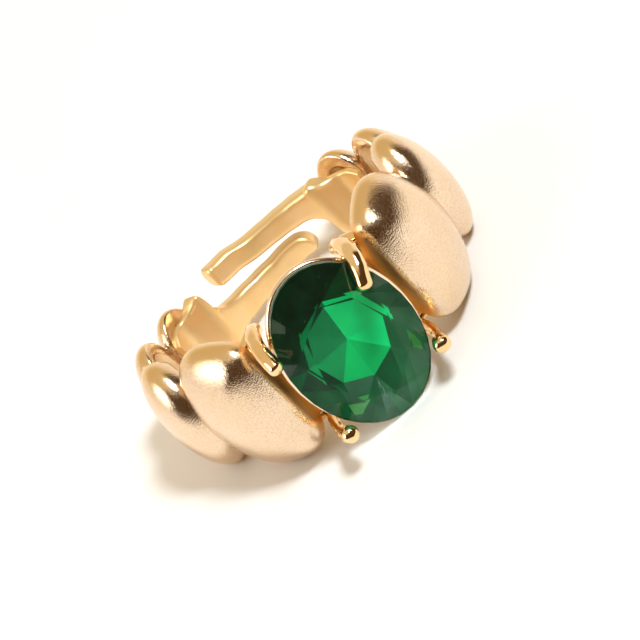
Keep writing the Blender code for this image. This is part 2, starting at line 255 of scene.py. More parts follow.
def stone_painted_facets(name, colour, shade, speck):
    """One painted facet tone of the stone: its green made brighter or darker as painted inner
    reflections, with slow cloudiness and tiny painted glints.
    """
    made, tree, shader, place = new_material(name)
    cloud = noise_node(tree, place, CLOUD_SCALE, 3.0)
    deep = tuple(shade * part for part in colour)
    base = ramp(tree, cloud, tuple(zip(CLOUD_STOPS, (deep, colour))))
    # Painted glints: tiny bright specks mixed into the facet colour
    dots = noise_node(tree, place, GLINT_SCALE, 2.0)
    mask = mapped(tree, dots, 0.0, 1.0, *GLINT_RANGE)
    tree.links.new(blended(tree, mask, base, speck), shader.inputs["Base Color"])
    tree.links.new(mapped(tree, cloud, *CLOUD_ROUGHNESS), shader.inputs["Roughness"])
    shader.inputs["Specular IOR Level"].default_value = 0.3
    return made


SATIN_FINISH = {"light": (0.86, 0.68, 0.52), "deep": (0.84, 0.63, 0.43),
                "roughness": (0.12, 0.24), "grain": 0.3, "grain_scale": 9000.0, "dents": 0.12,
                "speckle": 0.10, "rim": UPRIGHT_SHADE_GOLD}
SATIN = gold("satin_gold", **SATIN_FINISH)
# The front domes also carry the painted wall shade beside the stone
FRONT = gold("satin_gold_front", **SATIN_FINISH, wall=WALL_SHADE_GOLD)
HOLLOW = gold("hollow_gold", (0.97, 0.76, 0.47), (0.94, 0.66, 0.35), (0.3, 0.45),
              grain=0.1, grain_scale=6000.0, dents=0.3, metallic=0.7)
# Its rim colour is painted shade on the arms' upward and downward faces
BRUSHED = gold("arm_gold", (0.98, 0.71, 0.37), (0.95, 0.64, 0.28), (0.28, 0.33),
               grain=0.03, grain_scale=1500.0, dents=0.2, metallic=0.6, rim=(0.72, 0.50, 0.22))
POLISHED = gold("polished_gold", (0.94, 0.70, 0.40), (0.90, 0.62, 0.30), (0.05, 0.14),
                grain=0.08, grain_scale=4200.0, dents=0.5)
PALE = gold("rail_gold", (0.93, 0.77, 0.60), (0.91, 0.70, 0.50), (0.12, 0.24),
            grain=0.1, grain_scale=4200.0, dents=0.4)
GLASS = clear_glass("green_stone", (0.72, 0.93, 0.80), (0.12, 0.35, 0.22))
GLOSSY_GLASS = clear_glass("green_stone_bright", (0.72, 0.93, 0.80), (0.9, 0.95, 0.92))
# Lit and shaded copies of the stone's green, one per facet tone: painted inner reflections, each
# with its painted glint colour
TONES = {
    "bright": stone_painted_facets("stone_bright", (0.0, 0.80, 0.23), 0.9, (0.02, 0.85, 0.28)),
    "middle": stone_painted_facets("stone_middle", (0.0, 0.47, 0.12), 0.9, (0.02, 0.6, 0.2)),
    "soft": stone_painted_facets("stone_soft", (0.0, 0.28, 0.08), 0.85, (0.02, 0.4, 0.2)),
    "dim": stone_painted_facets("stone_dim", (0.0, 0.21, 0.065), 0.8, (0.02, 0.3, 0.15)),
    "dark": stone_painted_facets("stone_dark", (0.002, 0.075, 0.022), 0.5, (0.03, 0.25, 0.1)),
    "deep": stone_painted_facets("stone_deep", (0.001, 0.028, 0.011), 0.4, (0.05, 0.22, 0.12)),
    "grey": stone_painted_facets("stone_grey", (0.02, 0.12, 0.045), 0.7, (0.1, 0.3, 0.18)),
    "slate": stone_painted_facets("stone_slate", (0.10, 0.11, 0.085), 0.8, (0.16, 0.2, 0.15)),
    "lime": stone_painted_facets("stone_lime", (0.04, 0.26, 0.05), 0.7, (0.1, 0.4, 0.15)),
}


# ---------------------------------------------------------------- mesh tools

CORNER_STEPS = 6                # steps round a corner of a section
ROUND_STEPS = 4                 # steps round an edge of a rim


def add_object(name, points, faces, look, smooth=True, sharp=40.0):
    """A mesh object from points in millimetres."""
    mesh = bpy.data.meshes.new(name)
    mesh.from_pydata([tuple(MM * c for c in point) for point in points], [], faces)
    shape = bmesh.new()
    shape.from_mesh(mesh)
    bmesh.ops.recalc_face_normals(shape, faces=shape.faces)
    shape.to_mesh(mesh)
    shape.free()
    made = bpy.data.objects.new(name, mesh)
    bpy.context.scene.collection.objects.link(made)
    mesh.materials.append(look)
    if smooth:
        mesh.shade_smooth()
        mesh.set_sharp_from_angle(angle=math.radians(sharp))
    return made


def ring_faces(rows, columns, closed_rows=False):
    """Quads between rings of points that lie one after another."""
    faces = []
    for row in range(rows if closed_rows else rows - 1):
        for column in range(columns):
            after = (column + 1) % columns
            one, two = row * columns, (row + 1) % rows * columns
            faces.append((one + column, one + after, two + after, two + column))
    return faces


def loft(name, rings, look, sharp=40.0):
    """Rings of points joined into a solid with flat ends."""
    points = [point for ring in rings for point in ring]
    columns = len(rings[0])
    faces = ring_faces(len(rings), columns)
    faces.append(tuple(range(columns)))
    faces.append(tuple(range(len(points) - columns, len(points))))
    return add_object(name, points, faces, look, sharp=sharp)


def along(keys, position):
    """A smooth line through (position, value) pairs, read at one position."""
    keys = sorted(keys)
    position = min(max(position, keys[0][0]), keys[-1][0])
    index = max(i for i in range(len(keys) - 1) if keys[i][0] <= position)
    (x0, v0), (x1, v1) = keys[index], keys[index + 1]

    def slope(i):
        low, high = max(i - 1, 0), min(i + 1, len(keys) - 1)
        return (keys[high][1] - keys[low][1]) / (keys[high][0] - keys[low][0])

    width = x1 - x0
    t = (position - x0) / width
    start, end = slope(index) * width, slope(index + 1) * width
    return ((2 * t**3 - 3 * t**2 + 1) * v0 + (t**3 - 2 * t**2 + t) * start
            + (3 * t**2 - 2 * t**3) * v1 + (t**3 - t**2) * end)


def apply_modifiers(piece):
    """Replace a piece's mesh by what its modifiers make of it."""
    evaluated = piece.evaluated_get(bpy.context.evaluated_depsgraph_get())
    mesh = bpy.data.meshes.new_from_object(evaluated)
    piece.modifiers.clear()
    piece.data = mesh


def cut_away(piece, cutter):
    """Take one closed mesh out of another, and throw the cutter away."""
    step = piece.modifiers.new("cut", "BOOLEAN")
    step.operation = "DIFFERENCE"
    step.object = cutter
    step.solver = "MANIFOLD"
    apply_modifiers(piece)
    bpy.data.objects.remove(cutter, do_unlink=True)


def dent(piece, depth, waves):
    """Push a mesh in and out by up to a depth, as file marks do, with so many waves a mm."""
    mesh = piece.data
    for vertex in mesh.vertices:
        push = noise.noise(vertex.co / MM * waves) * depth * MM
        vertex.co += vertex.normal * push
    mesh.update()


def arc(start, bend, end, steps):
    """Points of a smooth curve from start to end, drawn towards a bend."""
    shares = [step / steps for step in range(steps + 1)]
    return [start * (1 - t)**2 + bend * (2 * t * (1 - t)) + end * t**2 for t in shares]


def rounded(corner, before, after, radius):
    """Points of a rounded corner."""
    one = corner + (before - corner).normalized() * radius
    two = corner + (after - corner).normalized() * radius
    return arc(one, corner, two, ROUND_STEPS)


def outward_at(degrees):
    """The direction away from the finger, at an angle from the back of the ring."""
    turn = math.radians(degrees)
    return Vector((math.sin(turn), math.cos(turn), 0.0))


def section_corners(half, low, high, corner):
    """The rounded corners of a section across a band, as four lists of (outward, height) pairs."""
    corners = []
    for quarter, (across, up) in enumerate(((1, 1), (-1, 1), (-1, -1), (1, -1))):
        centre_out = across * (half - corner)
        centre_z = (high - corner) if up > 0 else (low + corner)
        sweeps = [math.radians(90 * (quarter + step / CORNER_STEPS))
                  for step in range(CORNER_STEPS + 1)]
        corners.append([(centre_out + corner * math.cos(sweep),
                         centre_z + corner * math.sin(sweep)) for sweep in sweeps])
    return corners


# ---------------------------------------------------------------- pebbles

COLUMNS = 112                   # points round a pebble
OUTER_ROWS = 30                 # points down its outside
INNER_ROWS = 18                 # points up its hollow
TRIM_COLUMNS = 64
TRIM_ROWS = 32
SQUARENESS = 0.9                # how much of the fullness goes into squarer corners
FULL_WALL = 0.6                 # how far a full pebble's wall is kept from drawing in again
LAST_FALL = math.pi * 0.9       # beyond any rim, measured from the crown
ROUND_OF_RIM = 0.45             # the most of a rim's width that one rounded edge takes
ROUND_OF_WALL = 0.9             # the most of the wall's last step that it takes
ROUND_ROOM = 1.2                # how much room it gets, in radii
FILL_STEP = 0.12                # how fast points that made that room close in on the edge


def solve(inside, low, high):
    """Where a condition stops holding between two numbers."""
    for _ in range(30):
        middle = (low + high) / 2
        if inside(middle):
            low = middle
        else:
            high = middle
    return low


def pebble_point(pebble, side, turn, fall, sizes, shift, full):
    """A point of a pebble's dome; turn runs round it and fall from its crown down its wall."""
    angle, radius, _, raised, _, _ = pebble
    across, up = math.cos(turn), math.sin(turn)
    near = max(0.0, -across * side)             # 1 on the side that faces the stone
    power = 1.0 - full * near * abs(up) * SQUARENESS
    across = math.copysign(abs(across) ** power, across)
    up = math.copysign(abs(up) ** power, up)
    reach = math.sin(fall)
    if full > 0 and fall > math.pi / 2:
        reach = 1 - (1 - reach) * (1 - FULL_WALL * near)
    out = radius - shift + sizes[0] * math.cos(fall)
    swing = sizes[1] * reach * across
    height = raised + sizes[2] * math.sin(fall) * up
    place = math.radians(angle)
    outward = Vector((side * math.sin(place), -math.cos(place), 0.0))
    round_band = Vector((0, 0, 1)).cross(outward)
    return outward * out + round_band * swing + Vector((0, 0, height))


def wall_line(pebble, side, turn, full):
    """A pebble's wall from its crown down, round the rim and up the hollow, and its two poles."""
    _, distance, half_sizes, _, end_inside, hollow_reach = pebble
    hollow = (hollow_reach, half_sizes[1] - RIM_WALL, half_sizes[2] - RIM_WALL)
    rim_radius = distance - end_inside

    def dome(fall):
        return pebble_point(pebble, side, turn, fall, half_sizes, 0.0, full)

    def dish(fall):
        return pebble_point(pebble, side, turn, fall, hollow, HOLLOW_SHIFT, 0.0)

    end = solve(lambda f: dome(f).xy.length > rim_radius, 0.0, LAST_FALL)
    inner_end = solve(lambda f: dish(f).xy.length > rim_radius, 0.0, LAST_FALL)
    line = [dome(end * (step + 1) / OUTER_ROWS) for step in range(OUTER_ROWS)]
    edge, lip = line.pop(), dish(inner_end)
    back = [dish(inner_end * (1 - step / INNER_ROWS)) for step in range(1, INNER_ROWS)]
    radius = min(RIM_ROUND, (lip - edge).length * ROUND_OF_RIM)
    line = [point for point in line if (point - edge).length > radius * ROUND_ROOM]
    while len(line) < OUTER_ROWS - 1:
        line.append(line[-1].lerp(edge, FILL_STEP))
    line += rounded(edge, line[-1], lip, min(radius, (line[-1] - edge).length * ROUND_OF_WALL))
    line += rounded(lip, edge, back[0], radius)
    return line + back, dome(0.0), dish(0.0)


def pebble_piece(name, pebble, side, look, full):
    """A hollow pebble: dome, rounded rim that follows the finger hole, and dished inside."""
    lines = []
    for column in range(COLUMNS):
        turn = 2 * math.pi * (column + 0.5) / COLUMNS
        line, crown_point, dish_point = wall_line(pebble, side, turn, full)
        lines.append(line)
    rows = len(lines[0])
    points = [line[row] for row in range(rows) for line in lines]
    faces = ring_faces(rows, COLUMNS)
    crown = len(points)
    points += [crown_point, dish_point]
    last = (rows - 1) * COLUMNS
    for column in range(COLUMNS):
        after = (column + 1) % COLUMNS
        faces.append((crown, after, column))
        faces.append((crown + 1, last + column, last + after))
    made = add_object(name, points, faces, look, sharp=75.0)
    made.data.materials.append(HOLLOW)
    inside_from = (rows - INNER_ROWS + 1) * COLUMNS
    for index, face in enumerate(made.data.polygons):
        if inside_from <= index < last or index >= last and (index - last) % 2 == 1:
            face.material_index = 1
    return made


def plain_ellipsoid(name, pebble, side):
    """A closed ellipsoid a little smaller than a pebble, to trim its neighbours with."""
    sizes = tuple(size - LAP_DEPTH for size in pebble[2])
    points, faces = [], ring_faces(TRIM_ROWS - 1, TRIM_COLUMNS)
    for row in range(1, TRIM_ROWS):
        fall = math.pi * row / TRIM_ROWS
        for column in range(TRIM_COLUMNS):
            turn = 2 * math.pi * column / TRIM_COLUMNS
            points.append(pebble_point(pebble, side, turn, fall, sizes, 0.0, 0.0))
    for first, fall in ((0, 0.0), ((TRIM_ROWS - 2) * TRIM_COLUMNS, math.pi)):
        pole = len(points)
        points.append(pebble_point(pebble, side, 0.0, fall, sizes, 0.0, 0.0))
        for column in range(TRIM_COLUMNS):
            after = (column + 1) % TRIM_COLUMNS
            faces.append((pole, first + column, first + after))
    return add_object(name, points, faces, SATIN)


def build_pebbles():
    """Four pebbles down each side; each stops inside the wall of the one in front."""
    for side_name, side in SIDES.items():
        for number, pebble in enumerate(PEBBLES, start=1):
            full = FRONT_FULLNESS if number == 1 else 0.0
            look = FRONT if number == 1 else SATIN
            piece = pebble_piece(f"dome_{side_name}_{number}", pebble, side, look, full)
            if number > 1:
                cut_away(piece, plain_ellipsoid("lap", PEBBLES[number - 2], side))
            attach(piece, "head")
            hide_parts(f"pebble_{side_name}_{number}")


# ---------------------------------------------------------------- shank

# Edges of the two arms, as (x, z) pairs, and of the two shoulders, as (degrees from +Y, z)
LEFT_ARM_TOP = ((-5.6, 1.1), (-4.8, 0.3), (-3.0, -0.12), (0.0, -0.38), (1.5, -0.25), (4.2, -0.35))
LEFT_ARM_BOTTOM = ((-5.6, -2.3), (-3.0, -2.3), (0.0, -2.35), (4.2, -2.0))
RIGHT_ARM_TOP = ((5.6, 2.6), (3.0, 2.35), (0.0, 2.35), (-2.0, 2.85), (-4.6, 3.3))
RIGHT_ARM_BOTTOM = ((5.6, -0.5), (4.8, 0.15), (3.0, 0.35), (0.0, 0.5), (-2.0, 0.9), (-4.6, 1.4))
LEFT_SHOULDER_TOP = ((36.4, 0.72), (37.2, 0.95), (37.9, 1.5), (38.4, 2.2), (39.0, 2.75),
                     (40.0, 3.0), (41.2, 3.0), (43.0, 2.8), (45.5, 2.45), (48.5, 2.3),
                     (52.0, 2.3), (56.0, 2.2), (61.0, 1.7))
LEFT_SHOULDER_BOTTOM = ((36.4, -2.3), (40.0, -2.5), (48.0, -2.4), (54.0, -2.2), (61.0, -1.6))
RIGHT_SHOULDER_TOP = ((36.4, 2.6), (38.5, 2.75), (40.5, 2.8), (42.5, 2.6), (45.0, 2.2),
                      (48.0, 2.0), (52.0, 1.95), (56.0, 1.9), (61.0, 1.5))
RIGHT_SHOULDER_BOTTOM = ((36.4, -0.55), (37.6, -0.9), (38.4, -1.7), (39.4, -2.3), (41.0, -2.5),
                         (54.0, -2.2), (61.0, -1.6))
SHOULDER_RISE = ((36.4, 0.0), (40.0, 0.02), (43.0, 0.2), (46.0, 0.65), (50.0, 1.2), (54.0, 1.3),
                 (61.0, 1.2))
SHOULDER_THINNING = ((36.4, 0.0), (43.0, 0.0), (50.0, 0.38), (61.0, 0.5))
TIP_ANGLES = {"left": 22.8, "right": -25.7}
TIP_CORNERS = {"left": (0.35, 1.2), "right": (0.45, 0.45)}      # lower and upper radius
TIP_THINNING = 0.35             # length over which a tip also rounds off in thickness
SHOULDER_START_ANGLE = 36.4     # where a shoulder's sections stop
ARM_START_ANGLE = 36.0          # where its arm's sections go on
SHOULDER_STEP = 0.25            # degrees between a shoulder's sections
ARM_SECTIONS = 90
TIP_TURNS = range(8, 88, 6)     # degrees round a tip's corner at which it has a section
SIDE_STEPS = 5                  # steps down a broad face
CORNER_OF_HALF = 0.85           # the most of the half thickness that a corner takes
CORNER_OF_HEIGHT = 0.45
UNEVENNESS = 0.06               # how far an arm's edges wander, as filed by hand
WANDER_WAVES = 0.8              # and how many waves a mm


def band_section(angle, low, high, rise=0.0, shrink=0.0):
    """One rounded rectangle across the shank, with a few points down its broad faces."""
    outward = outward_at(angle)
    middle = outward * (SHANK_RADIUS + rise)
    half = SHANK_THICKNESS / 2 - shrink
    corner = min(SHANK_CORNER, half * CORNER_OF_HALF, (high - low) * CORNER_OF_HEIGHT)
    top_out, top_in, low_in, low_out = [
        [middle + outward * out + Vector((0, 0, height)) for out, height in pairs]
        for pairs in section_corners(half, low, high, corner)]
    return (top_out + top_in + side_points(middle - outward * half, high, low)
            + low_in + low_out + side_points(middle + outward * half, low, high))


def side_points(middle, start, end):
    """Points up or down the broad face of the band between two corners."""
    inwards = math.copysign(SHANK_CORNER, end - start)
    start, end = start + inwards, end - inwards
    if (end - start) * inwards <= 0:
        start = end = (start + end) / 2
    return [middle + Vector((0, 0, start + (end - start) * (step / SIDE_STEPS)))
            for step in range(1, SIDE_STEPS)]


def inset(corner, length):
    """How far a rounded corner has drawn in at a distance from the end."""
    if length >= corner:
        return 0.0
    return corner - math.sqrt(corner**2 - (corner - length)**2)


def shoulder_rings(side, low_edge, high_edge):
    """Sections from inside the last pebble up to the hinge."""
    return [band_section(side * degrees, along(low_edge, degrees), along(high_edge, degrees),
                         along(SHOULDER_RISE, degrees), along(SHOULDER_THINNING, degrees))
            for degrees in np.arange(SHOULDER_END_ANGLE, SHOULDER_START_ANGLE, -SHOULDER_STEP)]


def arm_rings(side, low_edge, high_edge, tip_angle, corners):
    """Sections from the hinge to the tip, closer together where the tip rounds off."""
    low_corner, high_corner = corners
    round_end = max(corners)
    total = math.radians(abs(tip_angle - side * ARM_START_ANGLE)) * SHANK_RADIUS
    lengths = list(np.linspace(total, round_end, ARM_SECTIONS))
    lengths += [round_end * math.cos(math.radians(a)) ** 2 for a in TIP_TURNS]
    rings = []
    for length in lengths:
        angle = tip_angle + side * math.degrees(length / SHANK_RADIUS)
        x = SHANK_RADIUS * math.sin(math.radians(angle))
        wave = UNEVENNESS * noise.noise(Vector((x * WANDER_WAVES, side * 3.0, 0.0)))
        low = along(low_edge, x) + inset(low_corner, length) + wave
        high = along(high_edge, x) - inset(high_corner, length) + wave
        rings.append(band_section(angle, low, high, 0.0, inset(TIP_THINNING, length)))
    return rings


def build_shank():
    """A shoulder and its arm as one continuous strip on each side, which bends at the hinge."""
    edges = {"left": (LEFT_SHOULDER_BOTTOM, LEFT_SHOULDER_TOP, LEFT_ARM_BOTTOM, LEFT_ARM_TOP),
             "right": (RIGHT_SHOULDER_BOTTOM, RIGHT_SHOULDER_TOP, RIGHT_ARM_BOTTOM,
                       RIGHT_ARM_TOP)}
    for side_name, side in SIDES.items():
        block_low, block_high, arm_low, arm_high = edges[side_name]
        rings = shoulder_rings(side, block_low, block_high)
        rings += arm_rings(side, arm_low, arm_high, TIP_ANGLES[side_name], TIP_CORNERS[side_name])
        strip = loft(f"strip_{side_name}", rings, BRUSHED, sharp=60.0)
        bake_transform(strip)
        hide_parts(f"shoulder_{side_name}", f"arm_{side_name}")


# ---------------------------------------------------------------- stone

FACETS = 8                      # main facets round the stone
RIM_POINTS = 4 * FACETS
TABLE_SHARE = 0.64
STAR_SHARE = 0.81
STAR_DROP = 0.42                # how far down the crown the star's corners lie
BREAK = (3.05, 3.4, -9.75)      # half width, half length and place of the pavilion's inner star
BREAK_TURN = math.radians(15.0)
UPPER_FACETS = 2.0              # facets above this height are the glossier ones
TABLE_FLATNESS = 0.99           # but not one that faces forward or back as flatly as the table
CUP_GAPS = (0.12, 0.17)         # how far the cup's two faces lie inside the glass
CUP_SHORTFALL = 0.02            # how far its edge stays in front of the girdle's back
CUP_POINT_GAP = 1.1             # how much larger the gap is at its point
# Painted tones of the inner star and of the pavilion's walls, one facet after another from +X
# towards +Z: painted reflections make the star bright and the walls dark
STAR_TONES = ("bright", "bright", "dim", "dim", "soft", "middle", "middle", "bright")
WALL_TONES = ("dark", "deep", "deep", "deep", "dark", "dark", "grey", "grey")
LIME_WEDGES = (5, 7)            # wedges between two star points that carry a painted lime reflection band
LIME_REACH = (0.42, 0.78)       # where that band starts and ends on the way to the edge
SLATE_FACET = (2, 3)            # the wall facet whose outer part is a painted slate reflection
SLATE_START = 0.5               # where the slate starts on the way to the edge


def on_oval(share, turn, y):
    """A point on the stone's outline drawn in to a share of its size."""
    return (STONE_HALF_WIDTH * share * math.cos(turn), y,
            STONE_HALF_LENGTH * share * math.sin(turn))


def inner_star(width, length, y):
    """The corners of the star where the pavilion's slope changes."""
    turns = [2 * math.pi * (i + 0.5) / FACETS + BREAK_TURN for i in range(FACETS)]
    return [(width * math.cos(turn), y, length * math.sin(turn)) for turn in turns]


def stone_rings():
    """Rings of the stone's corners: table, star, girdle front and back, inner star."""
    front, back = GIRDLE_Y - GIRDLE_THICKNESS / 2, GIRDLE_Y + GIRDLE_THICKNESS / 2
    star_y = TABLE_Y + (front - TABLE_Y) * STAR_DROP
    unit = 2 * math.pi / FACETS
    return ([on_oval(TABLE_SHARE, unit * i, TABLE_Y) for i in range(FACETS)],
            [on_oval(STAR_SHARE, unit * (i + 0.5), star_y) for i in range(FACETS)],
            [on_oval(1.0, unit * i / 4, front) for i in range(RIM_POINTS)],
            [on_oval(1.0, unit * i / 4, back) for i in range(RIM_POINTS)],
            inner_star(*BREAK))


def stone_faces(table, star, front, back, lower, culet):
    """Facets between rings of corners that start at these numbers."""
    faces = [tuple(range(table, table + FACETS))]
    for i in range(FACETS):
        after, before = (i + 1) % FACETS, (i - 1) % FACETS
        f = [front + (4 * i + k) % RIM_POINTS for k in range(5)]
        b = [back + (4 * i + k) % RIM_POINTS for k in range(5)]
        faces.append((table + i, table + after, star + i))
        faces.append((table + i, star + i, f[0]))
        faces.append((table + i, f[0], star + before))
        for k in range(4):
            faces.append((star + i, f[k], f[k + 1]))
            faces.append((f[k], f[k + 1], b[k + 1], b[k]))
            faces.append((lower + i, b[k], b[k + 1]))
        faces.append((lower + before, b[0], lower + i))
        faces.append((culet, lower + before, lower + i))
    return faces


def build_stone():
    """An oval brilliant of clear glass round a cup in its pavilion, which carries the stone's
    colour and its painted reflections.
    """
    points, starts = [], []
    for ring in (*stone_rings(), [(0.0, CULET_Y, 0.0)]):
        starts.append(len(points))
        points += ring
    stone = add_object("stone_cut", points, stone_faces(*starts), GLASS, smooth=False)
    stone.visible_shadow = False
    stone.data.materials.append(GLOSSY_GLASS)
    for face in stone.data.polygons:
        flat = abs(face.normal.y) >= TABLE_FLATNESS
        if face.center.z > UPPER_FACETS * MM and not flat:
            face.material_index = 1
    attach(stone, "head")
    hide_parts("stone")
    build_painted_facets()


def cup_layer(gap):
    """Corners of one face of the cup: its edge, its inner star and its point."""
    width, length, y = BREAK
    edge_y = GIRDLE_Y + GIRDLE_THICKNESS / 2 - CUP_SHORTFALL
    edge = [on_oval(1.0 - gap / STONE_HALF_WIDTH, 2 * math.pi * k / RIM_POINTS, edge_y)
            for k in range(RIM_POINTS)]
    star = inner_star(width - gap / 2, length - gap / 2, y - gap)
    return edge + star + [(0.0, CULET_Y - gap * CUP_POINT_GAP, 0.0)]


def cup_facets(points, first):
    """Facets of the layer that starts at a point, with painted tones; the split ones add points of
    their own.
    """
    low = first + RIM_POINTS
    tip = low + FACETS
    facets = []

    def between(start, end, share):
        points.append(tuple(Vector(points[start]).lerp(Vector(points[end]), share)))
        return len(points) - 1

    for i in range(FACETS):
        here, before = low + i, low + (i - 1) % FACETS
        edge = [first + (4 * i + k) % RIM_POINTS for k in range(5)]
        for k in range(4):
            tone = WALL_TONES[i] if k in (1, 2) else WALL_TONES[(i + k // 2) % FACETS]
            if (i, k) == SLATE_FACET:
                one, two = [between(here, end, SLATE_START) for end in (edge[k], edge[k + 1])]
                facets.append((tone, (here, one, two)))
                facets.append(("slate", (one, edge[k], edge[k + 1], two)))
            else:
                facets.append((tone, (here, edge[k], edge[k + 1])))
        if i in LIME_WEDGES:
            one, two, three, four = [between(corner, edge[0], share)
                                     for share in LIME_REACH for corner in (before, here)]
            facets.append((WALL_TONES[i - 1], (before, one, two, here)))
            facets.append(("lime", (one, three, four, two)))
            facets.append(("dark", (three, edge[0], four)))
        else:
            facets.append((WALL_TONES[i - 1], (before, edge[0], here)))
        facets.append((STAR_TONES[i], (tip, before, here)))
    return facets


def build_painted_facets():
    """A thin faceted cup just inside the pavilion, which carries the stone's colour and its
    painted inner reflections: a bright star, dark walls, lime and slate bands.
    """
    points, facets, starts = [], [], []
    for gap in CUP_GAPS:
        starts.append(len(points))
        points += cup_layer(gap)
        facets += cup_facets(points, starts[-1])
    outer, inner = starts
    for k in range(RIM_POINTS):
        after = (k + 1) % RIM_POINTS
        facets.append(("dark", (outer + k, outer + after, inner + after, inner + k)))
    names = list(TONES)
    cup = add_object("stone_painted_facets", points, [face for _, face in facets], TONES[names[0]],
                     smooth=False)
    for name in names[1:]:
        cup.data.materials.append(TONES[name])
    for face, (tone, _) in zip(cup.data.polygons, facets):
        face.material_index = names.index(tone)
    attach(cup, "head")


# ---------------------------------------------------------------- setting

# Prongs: root, middle, tip, stem radius, tip radius
PRONGS = {
    "upper_left": ((-4.3, -8.3, 4.5), (-5.1, -10.6, 5.1), (-5.0, -12.7, 3.4), 0.6, 0.6),
    "upper_right": ((4.2, -8.3, 4.5), (4.9, -11.9, 5.8), (3.6, -13.0, 3.3), 0.72, 0.62),
    "lower_left": ((-4.5, -8.2, -4.3), (-5.1, -10.6, -4.8), (-4.6, -12.9, -4.35), 0.45, 0.66),
    "lower_right": ((4.5, -8.2, -4.3), (5.0, -10.6, -4.8), (4.5, -12.9, -4.4), 0.45, 0.66),
}
PRONG_STEPS = 40
PRONG_SIDES = 32
SWELL_START = 0.6               # where a stem starts to swell towards the tip's radius
SWELL_LENGTH = 0.3
TIP_STEPS = 12
TIP_REACH = 0.85                # how far a tip bulges out, as a share of its radius
TIP_BLUNTNESS = 0.8             # below 1 makes it blunter than an ellipse
FOOT_DEPTH = 0.3                # how far a prong's foot runs into the dome
FOOT_BEND = 0.25
FOOT_STEPS = 10
FILE_MARKS = (0.05, 1.1)        # depth in mm and waves a mm

# Rails: node in the CAD, place, half sizes of the oval, radius of the wire
RAILS = {
    "rail_upper": ("gallery_rail_upper", GIRDLE_Y + 0.6, (4.85, 6.85), 0.3),
    "rail_lower": ("gallery_rail_lower", -9.05, (4.5, 5.8), 0.35),
}
RAIL_STEPS = 180
RAIL_SIDES = 16
RAIL_UNEVENNESS = 0.04
RAIL_WAVES = 2.0

BRIDGE_THICKNESS = 0.95
BRIDGE_HALF_WIDTH = 2.6
BRIDGE_END_ANGLE = 46.0
BRIDGE_CORNER = 0.28
BRIDGE_SECTIONS = 141
CULET_WINDOW = (2.4, 2.0)       # half width and half height
WINDOW_STEPS = 128
WINDOW_CUT = (-12.5, -6.5)      # where its cutter starts and ends


def tube(name, path, radii, look, sides, closed=False):
    """A round bar along a path, with its own radius at each point."""
    rings = []
    count = len(path)
    turns = [2 * math.pi * side / sides for side in range(sides)]
    guide = None
    for index, (point, radius) in enumerate(zip(path, radii)):
        if closed:
            tangent = (path[(index + 1) % count] - path[index - 1]).normalized()
        else:
            tangent = (path[min(index + 1, count - 1)] - path[max(index - 1, 0)]).normalized()
        if guide is None:
            guide = tangent.orthogonal().normalized()
        guide = (guide - tangent * guide.dot(tangent)).normalized()
        other = tangent.cross(guide)
        rings.append([point + (guide * math.cos(turn) + other * math.sin(turn)) * radius
                      for turn in turns])
    if closed:
        points = [point for ring in rings for point in ring]
        return add_object(name, points, ring_faces(count, sides, closed_rows=True), look)
    return loft(name, rings, look, sharp=80.0)


def foot_in_dome(root, side_name):
    """The point inside the front dome's wall that is nearest to a prong's root."""
    dome = bpy.data.objects[f"dome_{side_name}_1"]
    tree = BVHTree.FromPolygons([vertex.co for vertex in dome.data.vertices],
                                [face.vertices for face in dome.data.polygons])
    place, normal, _, _ = tree.find_nearest(root * MM)
    return place / MM - normal * FOOT_DEPTH


def build_prongs():
    """Four bars that leave the front domes and rise past the stone's edge to a rounded tip."""
    for name, (root, middle, tip, stem, ball) in PRONGS.items():
        root, middle, tip = Vector(root), Vector(middle), Vector(tip)
        foot = foot_in_dome(root, name.split("_")[1])
        path = arc(foot, root + (root - middle) * FOOT_BEND, root, FOOT_STEPS)[:-1]
        radii = [stem] * len(path)
        path += arc(root, middle, tip, PRONG_STEPS)
        for step in range(PRONG_STEPS + 1):
            swell = min(1.0, max(0.0, (step / PRONG_STEPS - SWELL_START) / SWELL_LENGTH))
            swell = swell * swell * (3 - 2 * swell)
            radii.append(stem + (ball - stem) * swell)
        forward = (tip - middle).normalized()
        for step in range(1, TIP_STEPS):
            turn = math.radians(90 * step / TIP_STEPS)
            path.append(tip + forward * ball * TIP_REACH * math.sin(turn))
            radii.append(ball * math.cos(turn) ** TIP_BLUNTNESS)
        made = tube(f"claw_{name}", path, radii, POLISHED, PRONG_SIDES)
        dent(made, *FILE_MARKS)
        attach(made, "head")
        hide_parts(f"prong_{name}")


def rail(name, node_name, y, half_sizes, radius):
    """An oval wire round the setting, slightly uneven as cast."""
    path, radii = [], []
    for step in range(RAIL_STEPS):
        turn = 2 * math.pi * step / RAIL_STEPS
        place = Vector((math.cos(turn) * RAIL_WAVES, math.sin(turn) * RAIL_WAVES, y))
        uneven = RAIL_UNEVENNESS * noise.noise(place)
        path.append(Vector((half_sizes[0] * math.cos(turn), y + uneven,
                            half_sizes[1] * math.sin(turn))))
        radii.append(radius * (1 + 0.5 * uneven))
    made = tube(name, path, radii, PALE, RAIL_SIDES, closed=True)
    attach(made, "head")
    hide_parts(node_name)


def bridge_section(degrees):
    """One rounded rectangle across the bridge, flush with the finger hole."""
    outward = outward_at(degrees)
    half = BRIDGE_THICKNESS / 2
    corners = section_corners(half, -BRIDGE_HALF_WIDTH, BRIDGE_HALF_WIDTH, BRIDGE_CORNER)
    return [outward * (FINGER_RADIUS + half + out) + Vector((0, 0, height))
            for pairs in corners for out, height in pairs]


